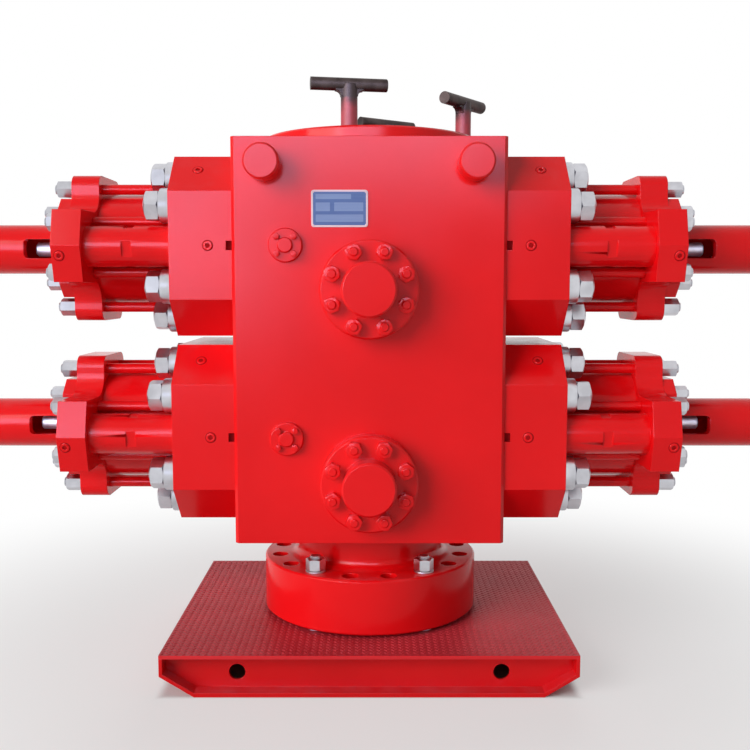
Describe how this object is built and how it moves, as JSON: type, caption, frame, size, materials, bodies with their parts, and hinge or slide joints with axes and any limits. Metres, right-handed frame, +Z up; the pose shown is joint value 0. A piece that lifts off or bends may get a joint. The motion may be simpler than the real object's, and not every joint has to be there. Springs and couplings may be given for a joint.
{
  "type": "ram blowout preventer",
  "caption": "Double ram blowout preventer with bolted bonnets, operating cylinders and ram locks on each side, blinded side outlets and a flanged base bolted to a shipping skid.",
  "frame": {"origin": "on the floor under the main bore's axis, at the middle of the skid's underside", "axes": "+Z up along the main bore, +X along the bonnets to the right as seen from the front, -Y towards the front"},
  "size_m": [2.52, 0.896, 1.6795],
  "materials": {
    "red_enamel": "glossy bright red enamel",
    "deck_paint": "dusty red paint on tread plate",
    "zinc_plate": "bright zinc plating",
    "machined_steel": "machined steel",
    "dark_steel": "dark bare steel",
    "blue_plate": "blue enamelled plate, blank",
    "black_rubber": "moulded black rubber"
  },
  "bodies": {
    "root": {"skid_deck": "deck_paint", "skid_front_channel": "red_enamel", "skid_rear_channel": "red_enamel", "skid_left_end": "red_enamel", "skid_right_end": "red_enamel", "skid_beams": "red_enamel", "seat_ring": "red_enamel", "hold_down_bolts": "zinc_plate", "bottom_flange": "red_enamel", "body": "red_enamel", "rams": "machined_steel", "ram_packers": "black_rubber", "corner_bosses": "red_enamel", "port_flanges": "red_enamel", "name_plate": "blue_plate", "lifting_tees": "dark_steel", "tee_bars": "dark_steel", "upper_front_blind": "red_enamel", "lower_front_blind": "red_enamel", "upper_rear_blind": "red_enamel", "lower_rear_blind": "red_enamel", "outlet_nuts": "red_enamel", "upper_left_bonnet": "red_enamel", "upper_right_bonnet": "red_enamel", "lower_left_bonnet": "red_enamel", "lower_right_bonnet": "red_enamel", "bonnet_nuts": "zinc_plate", "upper_left_cylinder": "red_enamel", "upper_right_cylinder": "red_enamel", "lower_left_cylinder": "red_enamel", "lower_right_cylinder": "red_enamel", "upper_left_head": "red_enamel", "upper_right_head": "red_enamel", "lower_left_head": "red_enamel", "lower_right_head": "red_enamel", "tie_rods": "red_enamel", "tie_nuts": "zinc_plate", "opening_tubes": "red_enamel", "upper_left_housing": "red_enamel", "upper_right_housing": "red_enamel", "lower_left_housing": "red_enamel", "lower_right_housing": "red_enamel", "lock_nuts": "zinc_plate", "tail_rods": "machined_steel", "upper_left_lock": "machined_steel", "upper_right_lock": "machined_steel", "lower_left_lock": "machined_steel", "lower_right_lock": "machined_steel"}
  },
  "joints": []
}
